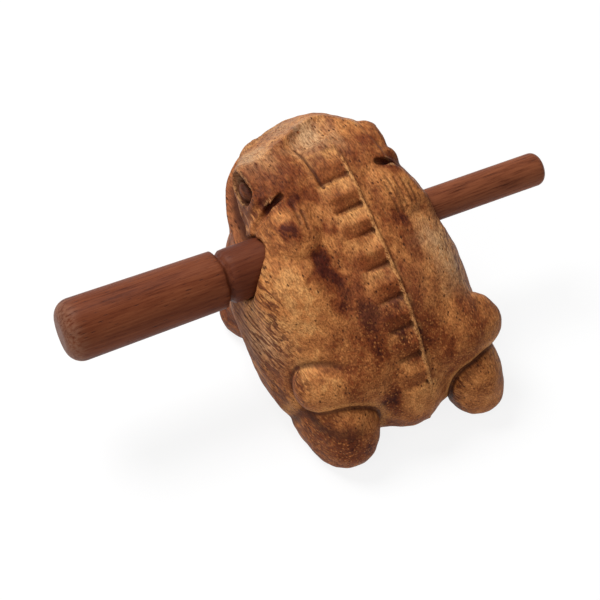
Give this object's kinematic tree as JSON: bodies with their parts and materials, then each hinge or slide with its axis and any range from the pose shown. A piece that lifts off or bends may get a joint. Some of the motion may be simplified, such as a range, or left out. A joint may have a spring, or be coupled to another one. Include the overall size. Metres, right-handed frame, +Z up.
{
  "type": "frog guiro",
  "caption": "Hollow carved wooden frog with a stepped ridge along its back, played by scraping with the turned stick stored crosswise through the corners of its mouth.",
  "frame": {"origin": "on the flat base the frog stands on, in the frog's mid-plane, under the middle of the trunk", "axes": "+X to the frog's right and the thin end of the stick, +Y forward to the snout, +Z up"},
  "size_m": [0.14, 0.0888, 0.0559],
  "materials": {
    "frog_wood": "satin lacquer over mottled stain",
    "stick_wood": "satin"
  },
  "bodies": {
    "frog": {"frog_body": "frog_wood"},
    "stick": {"stick": "stick_wood"}
  },
  "joints": [
    {"name": "stick_slide", "type": "slide", "parent": "frog", "child": "stick", "axis": [-0.9997, 0.0262, 0], "range_m": [0, 0.095]}
  ]
}
